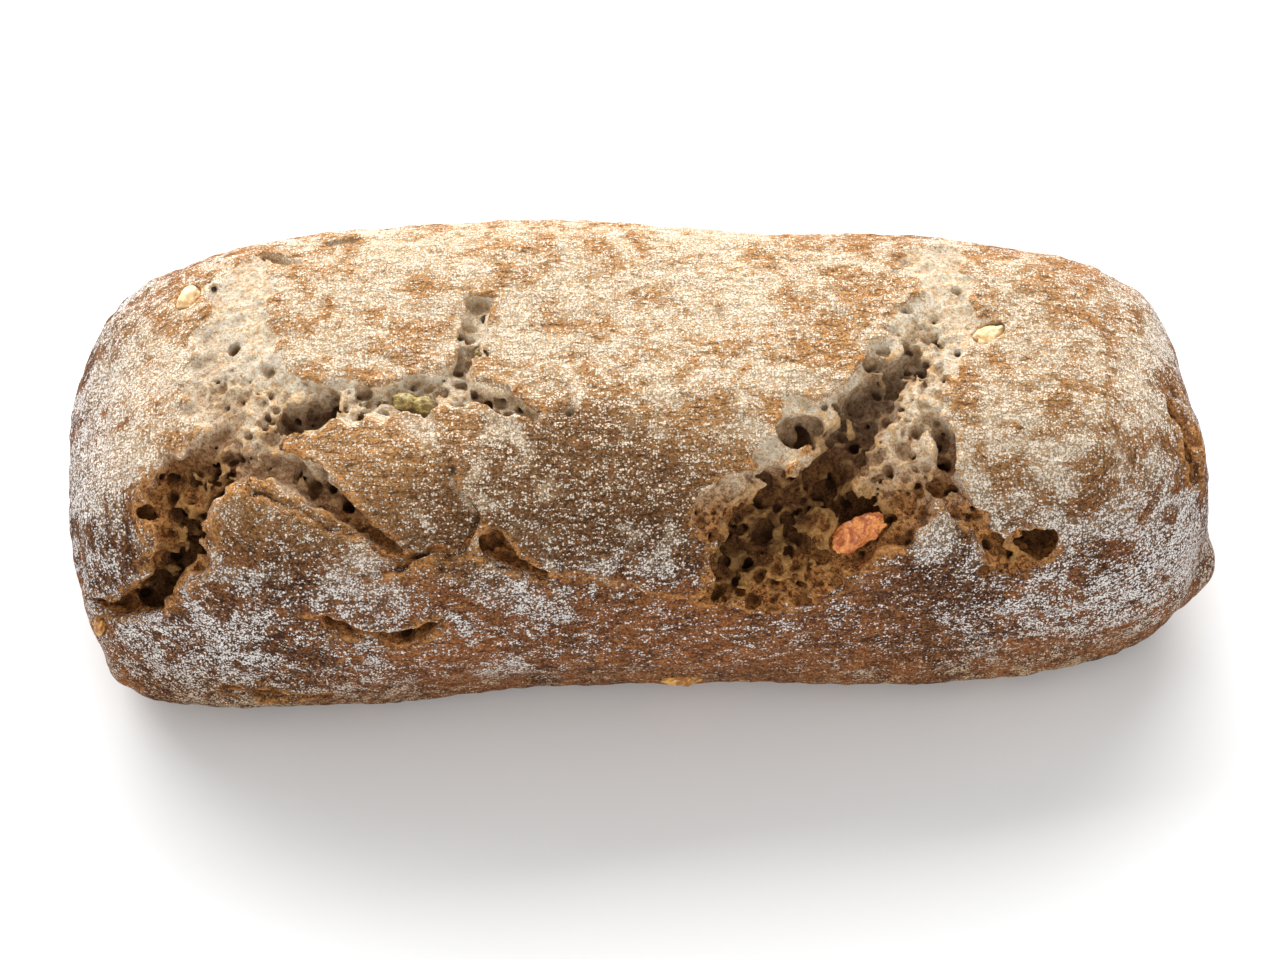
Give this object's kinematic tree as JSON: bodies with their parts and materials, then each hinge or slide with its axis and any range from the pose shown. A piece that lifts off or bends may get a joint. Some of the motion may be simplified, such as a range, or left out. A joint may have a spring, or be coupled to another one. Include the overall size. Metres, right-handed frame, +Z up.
{
  "type": "tin loaf",
  "caption": "Long oven-baked loaf with rounded ends and a floured brown crust, torn open over its crown to show holed crumb, with pieces of walnut in it, on a flat base.",
  "frame": {"origin": "on the flat base that the loaf stands on, under the middle of its length and width", "axes": "+X along the loaf to its slimmer end, -Y to its front, the side that the tears run down, +Z up out of its crown"},
  "size_m": [0.246, 0.1025, 0.0732],
  "materials": {
    "floured_crust": "matt baked crust dusted with white flour, porous beige crumb where it is torn open",
    "walnut_pale": "cut walnut, waxy and pale",
    "walnut_olive": "walnut skin, olive and slightly glossy",
    "walnut_orange": "roasted walnut, orange and waxy",
    "walnut_amber": "baked walnut, amber and slightly glossy"
  },
  "bodies": {
    "root": {"bread_loaf": "floured_crust", "walnut_piece_left_shoulder": "walnut_pale", "walnut_piece_left_tear": "walnut_olive", "walnut_piece_small_pore": "walnut_olive", "walnut_piece_right_tear": "walnut_orange", "walnut_piece_right_shoulder": "walnut_pale", "walnut_piece_front_base": "walnut_amber", "walnut_piece_left_end": "walnut_amber"}
  },
  "joints": []
}
